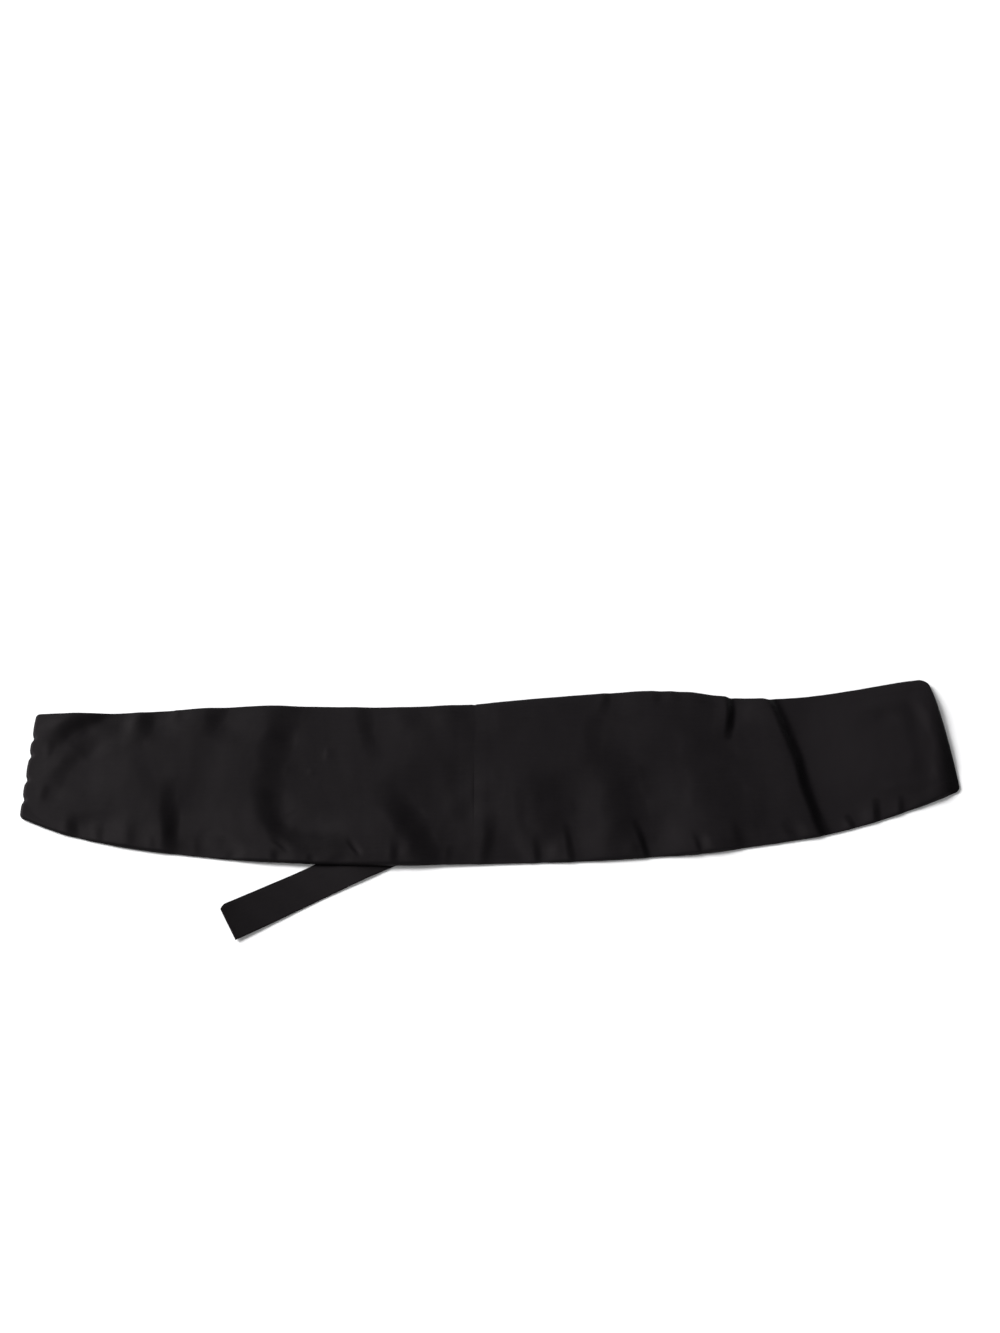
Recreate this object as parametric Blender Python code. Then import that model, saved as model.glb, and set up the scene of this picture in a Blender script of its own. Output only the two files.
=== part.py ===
# A cummerbund laid flat: a crescent-shaped panel (two face halves joined by a centre seam, over a
# one-piece back) and a cloth tie at each end, both folded under the panel. One tie's free end shows
# past the lower edge. All of it lies on the surface z = 0.
#
# Working units are millimetres, in "panel" coordinates: x runs along the panel from the centre seam,
# y across it from the middle of the panel, z up from the surface. Objects are placed in metres.
import bpy
import bmesh
import math
import numpy as np

for old in list(bpy.data.objects):
    bpy.data.objects.remove(old, do_unlink=True)

# ---------------------------------------------------------------- driving dimensions (mm)
FACE_WALL = 1.2        # satin face with its interlining
BACK_WALL = 1.0        # back cloth
TIE_WALL = 1.2         # tie: a folded and pressed strip, four plies of thin satin
GAP = 0.3              # least distance between two pieces
PLY_GAP = 0.5          # between the back and the face's inner side
TIE_CLEAR = 0.4        # between a tie and the back that lies over it
TIE_WIDTH = 25.0
TIE_END_WIDTH = 27.2   # the free end flares a little
TIE_LENGTH = 495.7
TIE_SEWN_IN = 9.0      # a tie starts this far inside the panel's end edge
EDGE_ROLL = 1.5        # the face turns down over this width at its edges
EDGE_MID = 1.35        # height of the edge line itself, half way down the roll
RIM_IN = 0.3           # the rim under the edge lies this far back from it
PUFF = 2.7             # loft of the face between its seams
PUFF_REACH = 11.0      # the loft builds up over this distance from an edge
BACK_INSET = 2.3       # the back stays this far inside the face's edge
SEAM_DIP = 0.5         # the face dips this much at the centre seam
SEAM_DIP_WIDTH = 5.0
LIFT_FLAT = 4.0        # beyond a tie's edge the panel stays lifted this far,
LIFT_RAMP = 14.0       # and is back on the surface after this much more
LEFT_TACKS = (0.17, 0.34, 0.585, 0.75)   # where the left end is tacked, as shares of its height from below
TACK_DEPTH = 1.1       # the edge is drawn in this far at a tack, so it puffs out between them
RIGHT_BOW = 0.9        # the right end's edge bows out this far at its middle
STEP_ALONG = 10.5      # grid pitch along the panel
ROWS_ACROSS = 11       # even grid rows between the two edges' narrow ones

# The panel's outline as it lies: lower and upper edge, one row for each section.
#              x      lower    upper
EDGES = (
    (-306.0,  -29.7,   49.0),
    (-280.0,  -40.3,   50.0),
    (-240.0,  -50.5,   51.4),
    (-200.0,  -56.7,   53.8),
    (-160.0,  -61.1,   56.2),
    (-120.0,  -63.9,   56.5),
    (-80.0,   -65.3,   55.8),
    (-40.0,   -65.4,   55.9),
    (0.0,     -64.5,   57.6),
    (40.0,    -63.3,   61.6),
    (80.0,    -61.6,   65.2),
    (120.0,   -58.9,   68.0),
    (150.0,   -56.5,   66.9),
    (180.0,   -52.4,   62.8),
    (210.0,   -47.6,   62.3),
    (240.0,   -41.9,   65.6),
    (270.0,   -33.1,   70.4),
    (300.0,   -22.0,   75.8),
    (330.0,    -9.3,   79.0),
)

# How far each corner of the panel is drawn in, along and across.
#  end      edge      along   across
CORNERS = (
    ("left",  "lower",  0.6,  0.3),
    ("left",  "upper",  1.0,  0.4),
    ("right", "lower",  1.0,  0.4),
    ("right", "upper",  3.2,  1.4),
)

# How the grid lines that cross the panel fan out: each runs from x_low on the lower edge to x_high on
# the upper. The rows "crease" follow the diagonal storage crease, so that a grid line lies in it.
#             x_low   x_high
FAN = (
    (-306.2, -302.4),    # left end seam
    (-240.0, -238.0),
    (-150.0, -149.0),
    (0.0,       0.0),    # centre seam
    (120.0,   115.0),
    (205.0,   182.0),
    (232.0,   201.0),    # shoulder of the crease
    (239.5,   208.5),    # crease
    (247.0,   216.0),    # shoulder of the crease
    (290.0,   270.0),
    (330.2,   316.6),    # right end seam
)

# Largest folds of the face. Each runs from (x0, y0) to (x1, y1); depth is down, so a ridge is negative.
#   name              x0      y0      x1      y1    depth  width
FOLDS = (
    ("crease",       206.5,   66.0,  240.0,  -46.0,  3.0,   4.5),
    ("crease_bank",  222.0,   66.0,  257.0,  -44.0, -0.8,   9.0),
    ("short_crease", 180.5,   66.0,  174.2,   34.0,  2.2,   4.5),
    ("broad_left",  -133.0,   60.0, -140.0,  -42.0,  2.0,   9.5),
    ("corner_left", -290.0,   26.0, -248.0,   50.0,  1.8,   7.0),
    ("corner_soft", -292.0,  -20.0, -248.0,   31.0,  0.9,   8.0),
    ("lower_left",  -207.0,   -8.0, -201.0,  -56.0,  2.0,   7.0),
    ("upper_mid",    -75.0,   54.0,  -71.0,   14.0,  1.2,   7.0),
    ("lower_mid",    -58.0,  -16.0,  -28.0,  -60.0,  1.9,   8.0),
    ("lower_seam",    36.0,  -12.0,   47.0,  -60.0,  1.5,  10.0),
    ("lower_right",   88.0,    2.0,  116.0,  -55.0,  1.9,   9.0),
    ("upper_right",   90.0,   66.0,   83.0,    2.0,  1.0,   6.0),
    ("broad_right",  155.0,   26.0,  182.0,  -34.0,  1.5,  14.0),
    ("end_ridge",    300.0,   70.0,  310.0,    0.0, -0.6,   7.0),
)

# Centrelines of the ties, from the sewn end to the free end.
RIGHT_TIE = ((318.0, 34.0), (284.0, 25.0), (240.0, 14.5), (190.0, 6.5), (140.0, 0.5), (90.0, -6.0), (45.0, -14.5),
             (0.0, -27.5), (-63.3, -56.3), (-112.5, -81.3), (-161.8, -106.6), (-200.0, -126.0))
LEFT_TIE = ((-304.0, 10.0), (-270.0, 11.5), (-220.0, 14.0), (-160.0, 17.5), (-100.0, 21.0), (-40.0, 25.0),
            (20.0, 30.0), (80.0, 34.0), (140.0, 36.5), (200.0, 38.5), (260.0, 40.0))


# ---------------------------------------------------------------- curves and heights
def smooth(t):
    t = np.clip(t, 0.0, 1.0)
    return t * t * (3.0 - 2.0 * t)


def hermite(table, column, x):
    """A smooth curve through one column of a table of sections."""
    xs = np.array([row[0] for row in table], float)
    ys = np.array([row[column] for row in table], float)
    slope = np.gradient(ys, xs)
    x = np.clip(x, xs[0], xs[-1])
    i = np.clip(np.searchsorted(xs, x) - 1, 0, len(xs) - 2)
    h = xs[i + 1] - xs[i]
    t = (x - xs[i]) / h
    return ((1 + 2 * t) * (1 - t) ** 2 * ys[i] + t * (1 - t) ** 2 * h * slope[i]
            + t * t * (3 - 2 * t) * ys[i + 1] + t * t * (t - 1) * h * slope[i + 1])


def through(points, step):
    """Points every step mm along a smooth curve through the given ones (Catmull-Rom)."""
    p = np.array(points, float)
    p = np.vstack([2 * p[0] - p[1], p, 2 * p[-1] - p[-2]])
    dense = []
    for i in range(1, len(p) - 2):
        t = np.linspace(0, 1, 24, endpoint=False)[:, None]
        dense.append(0.5 * (2 * p[i] + (p[i + 1] - p[i - 1]) * t
                            + (2 * p[i - 1] - 5 * p[i] + 4 * p[i + 1] - p[i + 2]) * t ** 2
                            + (3 * p[i] - p[i - 1] - 3 * p[i + 1] + p[i + 2]) * t ** 3))
    dense = np.vstack(dense + [p[-2:-1]])
    run = np.concatenate([[0], np.cumsum(np.linalg.norm(np.diff(dense, axis=0), axis=1))])
    wanted = np.arange(0, run[-1], step)
    return np.stack([np.interp(wanted, run, dense[:, k]) for k in (0, 1)], axis=1)


def tie_line(points, step=1.0):
    """A tie's centreline: TIE_LENGTH long, starting TIE_SEWN_IN inside the panel's end."""
    line = through(points, step)
    first = int(round(TIE_SEWN_IN / step))
    return line[first:first + int(round(TIE_LENGTH / step)) + 1]


RIGHT_LINE, LEFT_LINE = tie_line(RIGHT_TIE), tie_line(LEFT_TIE)


def lift(x, y):
    """How far the panel is raised where it lies over a tie."""
    x, y = np.atleast_1d(np.asarray(x, float)), np.atleast_1d(np.asarray(y, float))
    nearest = np.full(x.shape, 1e9)
    for line in (RIGHT_LINE[::4], LEFT_LINE[::4]):
        away = np.hypot(x[..., None] - line[:, 0], y[..., None] - line[:, 1]).min(axis=-1)
        nearest = np.minimum(nearest, away)
    out = nearest - TIE_WIDTH / 2 - LIFT_FLAT
    return (TIE_WALL + TIE_CLEAR) * (1.0 - smooth(out / LIFT_RAMP))


def fold_depth(x, y):
    """Sum of the folds at a point: each is a rounded trough or ridge that fades at its two ends."""
    total = np.zeros(np.shape(x))
    for _, x0, y0, x1, y1, depth, width in FOLDS:
        run = math.hypot(x1 - x0, y1 - y0)
        ux, uy = (x1 - x0) / run, (y1 - y0) / run
        along = ((x - x0) * ux + (y - y0) * uy) / run
        across = (x - x0) * -uy + (y - y0) * ux
        fade = smooth((along + 0.12) / 0.24) * smooth((1.12 - along) / 0.24)
        total = total + depth * fade * np.exp(-((across / width) ** 2))
    return total


def face_height(x, y, from_edge):
    """Height of the face's outer side above the surface; from_edge is the distance to the nearest edge."""
    base = lift(x, y) + BACK_WALL + PLY_GAP + FACE_WALL
    loft = PUFF * (1.0 - np.exp(-from_edge / PUFF_REACH))
    body = np.maximum(loft - fold_depth(x, y), 0.0) * smooth(from_edge / 6.0)
    dip = SEAM_DIP * np.exp(-((x / SEAM_DIP_WIDTH) ** 2)) * smooth(from_edge / 10.0)
    return base + np.maximum(body - dip, 0.0)


# ---------------------------------------------------------------- the panel's grid
def fan_x(share, column):
    """x of a grid line on one edge, where share runs from 0 at the left end to 1 at the right."""
    middle = [(row[0] + row[1]) / 2 for row in FAN]
    at = middle[0] + share * (middle[-1] - middle[0])
    return np.interp(at, middle, [row[column] for row in FAN])


def along_shares(first, last, inset):
    """Shares of the grid lines between two stations: narrow steps at a panel end, then even ones."""
    middle = [(row[0] + row[1]) / 2 for row in FAN]
    whole = middle[-1] - middle[0]
    stops = [middle[i] for i in range(len(FAN)) if first <= i <= last]
    marks = []
    for a, b in zip(stops, stops[1:]):
        n = max(1, int(round((b - a) / STEP_ALONG)))
        marks += [a + (b - a) * k / n for k in range(n)]
    marks.append(stops[-1])
    edge = [inset, 7.0] if inset > 0 else [0.0, EDGE_ROLL, 7.0]
    if first == 0:
        marks = [stops[0] + d for d in edge] + [m for m in marks if m > stops[0] + 10]
    if last == len(FAN) - 1:
        marks = [m for m in marks if m < stops[-1] - 10] + [stops[-1] - d for d in reversed(edge)]
    return [(m - middle[0]) / whole for m in marks]


def across_distances(height, inset):
    """Distances of the grid rows from the lower edge."""
    edge = [inset, 7.0] if inset > 0 else [0.0, EDGE_ROLL, 7.0]
    even = [7.0 + (height - 14.0) * k / ROWS_ACROSS for k in range(1, ROWS_ACROSS)]
    return edge + even + [height - d for d in reversed(edge)]


def panel_grid(first, last, inset, seam_offset):
    """Plan positions (columns x rows x 2) of one piece of the panel, and each point's distance to the nearest edge."""
    columns, distances = [], []
    middle = [(row[0] + row[1]) / 2 for row in FAN]
    whole = middle[-1] - middle[0]
    for share in along_shares(first, last, inset):
        x_low, x_high = fan_x(share, 0), fan_x(share, 1)
        low = np.array([x_low, hermite(EDGES, 1, x_low)])
        high = np.array([x_high, hermite(EDGES, 2, x_high)])
        height = np.linalg.norm(high - low)
        rows = np.array(across_distances(height, inset))
        points = low + (high - low) * (rows / height)[:, None]
        to_left, to_right = share * whole, (1 - share) * whole
        v = rows / height
        # the left end's edge is drawn in at each tack, the right end's bows out
        tack = sum(np.exp(-(((v - at) / 0.04) ** 2)) for at in LEFT_TACKS)
        points[:, 0] += TACK_DEPTH * tack * smooth(1.0 - to_left / 9.0)
        points[:, 0] += RIGHT_BOW * 4 * v * (1 - v) * smooth(1.0 - to_right / 40.0)
        # a half stops just short of the centre seam
        if seam_offset and abs(share * whole + middle[0]) < 1e-6:
            points[:, 0] += seam_offset
        columns.append(points)
        distances.append(np.minimum(np.minimum(rows, height - rows), min(to_left, to_right)))
    points, distance = np.array(columns), np.array(distances)
    for end, edge, along, across in CORNERS:
        i, j = (0 if end == "left" else -1), (0 if edge == "lower" else -1)
        if (end == "left" and first == 0) or (end == "right" and last == len(FAN) - 1):
            points[i, j] += (along if i == 0 else -along, across if j == 0 else -across)
    return points, distance


# ---------------------------------------------------------------- objects
def material(name, colour, roughness):
    made = bpy.data.materials.new(name)
    made.use_nodes = True
    shader = made.node_tree.nodes["Principled BSDF"]
    shader.inputs["Base Color"].default_value = (*colour, 1.0)
    shader.inputs["Roughness"].default_value = roughness
    shader.inputs["Metallic"].default_value = 0.0
    made.diffuse_color = (*colour, 1.0)
    return made


def to_object(name, bm, cloth):
    bmesh.ops.recalc_face_normals(bm, faces=bm.faces)
    mesh = bpy.data.meshes.new(name)
    bm.to_mesh(mesh)
    bm.free()
    made = bpy.data.objects.new(name, mesh)
    bpy.context.scene.collection.objects.link(made)
    mesh.materials.append(cloth)
    mesh.shade_smooth()
    mesh.set_sharp_from_angle(angle=math.radians(50))
    return made


def grid_faces(bm, verts):
    for i in range(len(verts) - 1):
        for j in range(len(verts[0]) - 1):
            bm.faces.new((verts[i][j], verts[i + 1][j], verts[i + 1][j + 1], verts[i][j + 1]))


def face_half(name, first, last, seam_offset, cloth):
    """Half of the face: a sheet whose outer edges turn down to the surface, given its wall by Solidify."""
    points, distance = panel_grid(first, last, 0.0, seam_offset)
    x, y = points[..., 0], points[..., 1]
    z = face_height(x, y, distance)
    edge = distance < 0.01
    z = np.where(edge, lift(x, y) + EDGE_MID, z)
    bm = bmesh.new()
    verts = [[bm.verts.new((x[i, j], y[i, j], z[i, j])) for j in range(x.shape[1])] for i in range(x.shape[0])]
    grid_faces(bm, verts)
    # the rim: the outer edges, but not the centre seam, carried down to the surface
    n, m = x.shape
    if first == 0:
        loop = [(i, 0) for i in range(n - 1, -1, -1)] + [(0, j) for j in range(1, m)] + [(i, m - 1) for i in range(1, n)]
        centre = np.array([x.max(), 0.0])
    else:
        loop = [(i, 0) for i in range(0, n)] + [(n - 1, j) for j in range(1, m)] + [(i, m - 1) for i in range(n - 2, -1, -1)]
        centre = np.array([x.min(), 0.0])
    rim = []
    for k, (i, j) in enumerate(loop):
        before, after = loop[max(k - 1, 0)], loop[min(k + 1, len(loop) - 1)]
        run = points[after] - points[before]
        inward = np.array([-run[1], run[0]]) / np.linalg.norm(run)
        if inward @ (centre - points[i, j]) < 0:
            inward = -inward
        if k in (0, len(loop) - 1):
            inward = np.array([0.0, np.sign(inward[1])])
        foot = points[i, j] + RIM_IN * inward
        rim.append(bm.verts.new((foot[0], foot[1], float(lift(foot[0], foot[1])[0]))))
    for k in range(len(loop) - 1):
        a, b = verts[loop[k][0]][loop[k][1]], verts[loop[k + 1][0]][loop[k + 1][1]]
        bm.faces.new((a, b, rim[k + 1], rim[k]))
    made = to_object(name, bm, cloth)
    # normals out: the top faces up
    if made.data.polygons[len(made.data.polygons) // 3].normal.z < 0:
        made.data.flip_normals()
    wall = made.modifiers.new("wall", "SOLIDIFY")
    wall.thickness = FACE_WALL
    wall.offset = -1.0
    wall.use_even_offset = True
    wall.thickness_clamp = 0.0
    wall.use_rim = True
    return made


def back_panel(name, cloth):
    """The back: one piece, flat on the surface and lifted where it crosses a tie."""
    points, _ = panel_grid(0, len(FAN) - 1, BACK_INSET, 0.0)
    x, y = points[..., 0], points[..., 1]
    z = lift(x, y)
    bm = bmesh.new()
    verts = [[bm.verts.new((x[i, j], y[i, j], z[i, j])) for j in range(x.shape[1])] for i in range(x.shape[0])]
    grid_faces(bm, verts)
    sheet = list(bm.faces)
    grown = bmesh.ops.extrude_face_region(bm, geom=sheet)
    bmesh.ops.translate(bm, vec=(0, 0, BACK_WALL), verts=[g for g in grown["geom"] if isinstance(g, bmesh.types.BMVert)])
    return to_object(name, bm, cloth)


def tie(name, line, cloth, step):
    """A flat strip along its centreline; the free end flares and its upper corner is blunted."""
    run = np.gradient(line, axis=0)
    run /= np.linalg.norm(run, axis=1)[:, None]
    side = np.stack([-run[:, 1], run[:, 0]], axis=1)
    length = len(line) - 1
    marks = sorted(set(list(range(0, length - 14, step)) + [length - 14, length - 8, length - 5, length - 2, length]))
    bm = bmesh.new()
    rings = []
    for k in marks:
        left = length - k
        half = TIE_WIDTH / 2 + (TIE_END_WIDTH - TIE_WIDTH) / 2 * float(smooth(1.0 - left / 70.0))
        near, far = half, half
        if left < 5:                              # the corner away from the viewer is drawn in
            far = half - 5.2 * (1.0 - left / 5.0) ** 1.3
        near_point, far_point = line[k] + side[k] * near, line[k] - side[k] * far
        rings.append([bm.verts.new((near_point[0], near_point[1], 0.0)), bm.verts.new((far_point[0], far_point[1], 0.0)),
                      bm.verts.new((far_point[0], far_point[1], TIE_WALL)), bm.verts.new((near_point[0], near_point[1], TIE_WALL))])
    for a, b in zip(rings, rings[1:]):
        for q in range(4):
            bm.faces.new((a[q], a[(q + 1) % 4], b[(q + 1) % 4], b[q]))
    bm.faces.new(rings[0])
    bm.faces.new(reversed(rings[-1]))
    return to_object(name, bm, cloth)


face_cloth = material("face_satin", (0.0137, 0.0122, 0.0133), 0.55)
back_cloth = material("back_satin", (0.0115, 0.0108, 0.0115), 0.6)
tie_cloth = material("tie_satin", (0.0122, 0.0112, 0.0120), 0.55)

seam = [i for i, row in enumerate(FAN) if row == (0.0, 0.0)][0]
pieces = [
    face_half("face_left", 0, seam, -GAP / 2, face_cloth),
    face_half("face_right", seam, len(FAN) - 1, GAP / 2, face_cloth),
    back_panel("back", back_cloth),
    tie("tie_right", RIGHT_LINE, tie_cloth, 14),
    tie("tie_left", LEFT_LINE, tie_cloth, 14),
]

# ---------------------------------------------------------------- into the row frame
# Origin: the middle of the whole object's outline, on the surface it lies on. Metres from here on.
every = np.vstack([[v.co for v in piece.data.vertices] for piece in pieces])
origin = (every.min(axis=0) + every.max(axis=0)) / 2
origin[2] = 0.0
for piece in pieces:
    for v in piece.data.vertices:
        v.co = ((v.co.x - origin[0]) / 1000, (v.co.y - origin[1]) / 1000, v.co.z / 1000)
    for modifier in piece.modifiers:
        modifier.thickness /= 1000
print("origin in panel coordinates, mm:", [round(float(c), 3) for c in origin])
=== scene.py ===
import math

import bmesh
import bpy
import numpy as np
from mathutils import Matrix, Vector, noise


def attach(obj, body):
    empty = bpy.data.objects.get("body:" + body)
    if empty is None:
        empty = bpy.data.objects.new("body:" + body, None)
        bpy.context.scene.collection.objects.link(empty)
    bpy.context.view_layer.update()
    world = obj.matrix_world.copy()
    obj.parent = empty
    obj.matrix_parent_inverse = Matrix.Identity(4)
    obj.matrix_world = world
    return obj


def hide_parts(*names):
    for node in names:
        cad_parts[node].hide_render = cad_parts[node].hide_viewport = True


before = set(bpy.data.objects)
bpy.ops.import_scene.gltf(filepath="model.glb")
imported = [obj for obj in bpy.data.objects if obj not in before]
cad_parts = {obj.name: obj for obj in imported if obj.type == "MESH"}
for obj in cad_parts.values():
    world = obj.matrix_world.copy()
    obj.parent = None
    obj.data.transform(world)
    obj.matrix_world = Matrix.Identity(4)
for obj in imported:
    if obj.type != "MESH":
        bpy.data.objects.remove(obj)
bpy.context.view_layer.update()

ORIGIN = (11.950, -20.656)
MM = 0.001

# ---------------------------------------------------------------- sizes (mm)
CLOTH = 0.5            # thickness of a ply as modelled
TIE_CLOTH = 0.3
EDGE_H = 3.3           # height of the face just inside its edge
EDGE_MID = 1.3        # height of the edge line itself
EDGE_R = 1.8           # the face rolls down over this width
HEIGHT_MIN = 1.35      # the face never comes nearer to the surface than this
PUFF = 2.7             # loft of the face in the middle of the panel
PUFF_REACH = 12.0
SEAM_HALF = 0.01       # each half of the face stops this far from the centre seam's line
ALLOWANCE = 9.0        # turned-in seam allowance, which shows as a low step beside the edges
ALLOWANCE_STEP = 0.22
LIFT = 1.6             # how far the panel is raised over a tie
LIFT_FLAT = 2.0
LIFT_RAMP = 32.0
TIE_WIDTH = 25.0
TIE_END_WIDTH = 27.2
TIE_LENGTH = 495.7
TIE_SEWN_IN = 9.0
TIE_LOW, TIE_HIGH = 0.15, 1.15
LEFT_TACKS = (0.165, 0.35, 0.585, 0.75)   # shares of the left end's height, from below
TACK_DEPTH = 1.25
RIGHT_BOW = 1.0

# The panel's outline as it lies.
#              x      lower    upper
EDGES = (
    (-306.0,  -29.7,   49.0),
    (-280.0,  -40.3,   50.0),
    (-240.0,  -50.5,   51.4),
    (-200.0,  -56.7,   53.8),
    (-160.0,  -61.1,   56.2),
    (-120.0,  -63.9,   56.5),
    (-80.0,   -65.3,   55.8),
    (-40.0,   -65.4,   55.9),
    (0.0,     -64.5,   57.6),
    (40.0,    -63.3,   61.6),
    (80.0,    -61.6,   65.2),
    (120.0,   -58.9,   68.0),
    (150.0,   -56.5,   66.9),
    (180.0,   -52.4,   62.8),
    (210.0,   -47.6,   62.3),
    (240.0,   -41.9,   65.6),
    (270.0,   -33.1,   70.4),
    (300.0,   -22.0,   75.8),
    (330.0,    -9.3,   79.0),
)

# Lines that cross the panel from x_low on the lower edge to x_high on the upper one.
#             x_low   x_high
FAN = (
    (-306.2, -302.4),    # left end seam
    (-150.0, -149.0),
    (0.0,       0.0),    # centre seam
    (120.0,   115.0),
    (240.0,   208.5),    # storage crease
    (290.0,   270.0),
    (330.2,   316.6),    # right end seam
)
LEFT_SHARE, SEAM, RIGHT_SHARE = 0, 2, 6

# Radius of each corner of the panel.
#                   left   right
CORNERS = {"lower": (2.8,   3.6),
           "upper": (3.0,   5.5)}

RIGHT_TIE = ((318.0, 34.0), (284.0, 25.0), (240.0, 14.5), (190.0, 6.5), (140.0, 0.5), (90.0, -6.0), (45.0, -14.5),
             (0.0, -27.5), (-63.3, -56.3), (-112.5, -81.3), (-161.8, -106.6), (-200.0, -126.0))
LEFT_TIE = ((-304.0, 10.0), (-270.0, 11.5), (-220.0, 14.0), (-160.0, 17.5), (-100.0, 21.0), (-40.0, 25.0),
            (20.0, 30.0), (80.0, 34.0), (140.0, 36.5), (200.0, 38.5), (260.0, 40.0))

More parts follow.
